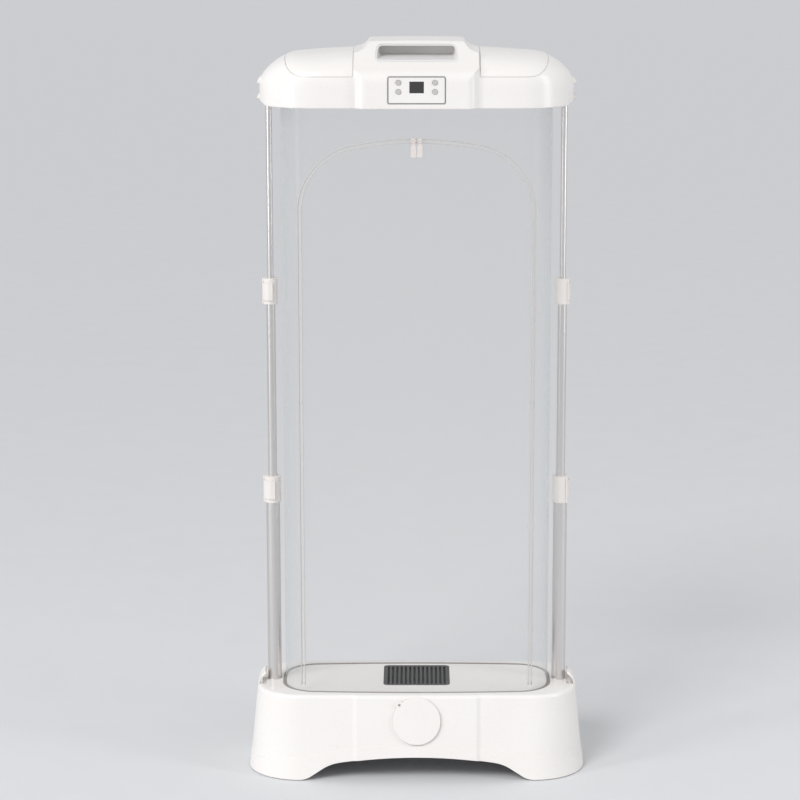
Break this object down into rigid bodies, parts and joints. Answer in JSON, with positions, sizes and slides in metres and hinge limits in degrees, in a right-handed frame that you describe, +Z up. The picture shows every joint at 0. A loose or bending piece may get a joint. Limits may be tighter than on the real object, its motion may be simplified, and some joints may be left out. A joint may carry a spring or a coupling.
{
  "type": "foldable clothes dryer",
  "caption": "Upright clothes dryer with a blower base on arched feet, telescopic side poles, a clear zipped film bag and a domed hood with a control panel and carry grip.",
  "frame": {"origin": "on the floor, under the centre of the base", "axes": "+Z up, -Y towards the control panel, +X to the right seen from the panel side"},
  "size_m": [0.6198, 0.2604, 1.3354],
  "materials": {
    "housing": "warm white moulded plastic, soft gloss",
    "clamp": "ivory white plastic, satin",
    "pole": "satin anodised aluminium",
    "grille": "dark charcoal plastic",
    "inner_plastic": "grey moulded plastic",
    "steel": "plain steel",
    "fins": "bare aluminium fins",
    "circuit": "green circuit board",
    "frame_trim": "grey beige soft plastic",
    "film": "clear flexible film",
    "zip": "pale grey zip",
    "pull": "pale plastic pull",
    "grip_liner": "mid grey plastic",
    "button": "light grey plastic, satin",
    "window": "dark clear display window",
    "rubber": "black rubber",
    "filter": "dark mesh"
  },
  "bodies": {
    "base": {"base_housing": "housing", "bottom_cover": "inner_plastic", "intake_grille": "inner_plastic", "dust_filter": "filter", "foot_pads": "rubber", "base_screws": "steel", "deck_tray": "housing", "outlet_grille": "grille", "fan_housing": "inner_plastic", "fan_motor": "steel", "heater_frame": "inner_plastic", "heater_fins": "fins", "power_board": "circuit", "mains_inlet": "grille", "port_ring": "inner_plastic", "port_pivot_pin": "steel", "latch_pins": "steel", "pole_sockets": "inner_plastic", "lower_tubes": "pole", "left_lower_clamp": "clamp", "right_lower_clamp": "clamp", "lower_clamp_pins": "steel", "bag_lower_frame": "frame_trim", "bag_film": "film", "zipper_tape": "zip"},
    "fan": {"fan_impeller": "inner_plastic"},
    "port_flap": {"port_cover": "housing"},
    "left_latch_leaf": {"left_latch": "housing"},
    "right_latch_leaf": {"right_latch": "housing"},
    "left_lower_lever": {"left_lower_clamp_lever": "clamp"},
    "right_lower_lever": {"right_lower_clamp_lever": "clamp"},
    "middle_poles": {"left_middle_tube": "pole", "right_middle_tube": "pole", "middle_tube_bushes": "inner_plastic", "left_upper_clamp": "clamp", "right_upper_clamp": "clamp", "upper_clamp_pins": "steel"},
    "left_upper_lever": {"left_upper_clamp_lever": "clamp"},
    "right_upper_lever": {"right_upper_clamp_lever": "clamp"},
    "hood": {"left_upper_tube": "pole", "right_upper_tube": "pole", "upper_tube_bushes": "inner_plastic", "hood_shell": "housing", "right_cover": "housing", "left_cover": "housing", "handle_liner": "grip_liner", "control_plate": "housing", "display_window": "window", "control_board": "circuit", "hood_liner": "housing", "hanger_rail": "steel", "hood_screws": "steel", "bag_upper_frame": "frame_trim", "zip_sliders": "zip"},
    "left_upper_key": {"left_upper_button": "button"},
    "right_upper_key": {"right_upper_button": "button"},
    "left_lower_key": {"left_lower_button": "button"},
    "right_lower_key": {"right_lower_button": "button"},
    "left_pull": {"left_zip_pull": "pull"},
    "right_pull": {"right_zip_pull": "pull"}
  },
  "joints": [
    {"name": "lower_stage_slide", "type": "slide", "parent": "base", "child": "middle_poles", "axis": [0, 0, 1], "range_m": [-0.316, 0], "deforming": ["bag_film", "zipper_tape"]},
    {"name": "upper_stage_slide", "type": "slide", "parent": "middle_poles", "child": "hood", "axis": [0, 0, 1], "range_m": [-0.312, 0], "deforming": ["bag_film", "zipper_tape"]},
    {"name": "fan_spin", "type": "hinge", "parent": "base", "child": "fan", "pos_m": [0, 0.015, 0.08], "axis": [0, 0, 1], "continuous": true},
    {"name": "port_cover_swing", "type": "hinge", "parent": "base", "child": "port_flap", "pos_m": [-0.0317, -0.11281, 0.1395], "axis": [0, -0.9903, 0.1392], "range_deg": [-135, 0]},
    {"name": "left_latch_swing", "type": "hinge", "parent": "base", "child": "left_latch_leaf", "pos_m": [-0.2915, 0, 0.132], "axis": [0, -1, 0], "range_deg": [0, 95]},
    {"name": "right_latch_swing", "type": "hinge", "parent": "base", "child": "right_latch_leaf", "pos_m": [0.2915, 0, 0.132], "axis": [0, 1, 0], "range_deg": [0, 95]},
    {"name": "left_lower_lever_swing", "type": "hinge", "parent": "base", "child": "left_lower_lever", "pos_m": [-0.2784, 0, 0.517], "axis": [0, 0, -1], "range_deg": [0, 100]},
    {"name": "right_lower_lever_swing", "type": "hinge", "parent": "base", "child": "right_lower_lever", "pos_m": [0.27389, -0.01089, 0.517], "axis": [0, 0, -1], "range_deg": [0, 100]},
    {"name": "left_upper_lever_swing", "type": "hinge", "parent": "middle_poles", "child": "left_upper_lever", "pos_m": [-0.2763, 0, 0.883], "axis": [0, 0, -1], "range_deg": [0, 100]},
    {"name": "right_upper_lever_swing", "type": "hinge", "parent": "middle_poles", "child": "right_upper_lever", "pos_m": [0.27241, -0.00941, 0.883], "axis": [0, 0, -1], "range_deg": [0, 100]},
    {"name": "left_upper_button_press", "type": "slide", "parent": "hood", "child": "left_upper_key", "axis": [0, 1, 0], "range_m": [0, 0.0008], "stiffness_N_per_m": 800, "springref_m": -0.0004},
    {"name": "left_lower_button_press", "type": "slide", "parent": "hood", "child": "left_lower_key", "axis": [0, 1, 0], "range_m": [0, 0.0008], "stiffness_N_per_m": 800, "springref_m": -0.0004},
    {"name": "right_upper_button_press", "type": "slide", "parent": "hood", "child": "right_upper_key", "axis": [0, 1, 0], "range_m": [0, 0.0008], "stiffness_N_per_m": 800, "springref_m": -0.0004},
    {"name": "right_lower_button_press", "type": "slide", "parent": "hood", "child": "right_lower_key", "axis": [0, 1, 0], "range_m": [0, 0.0008], "stiffness_N_per_m": 800, "springref_m": -0.0004},
    {"name": "left_pull_swing", "type": "hinge", "parent": "hood", "child": "left_pull", "pos_m": [-0.0057, -0.09365, 1.16075], "axis": [-1, 0, 0], "range_deg": [0, 150]},
    {"name": "right_pull_swing", "type": "hinge", "parent": "hood", "child": "right_pull", "pos_m": [0.0057, -0.09365, 1.16075], "axis": [-1, 0, 0], "range_deg": [0, 150]}
  ]
}
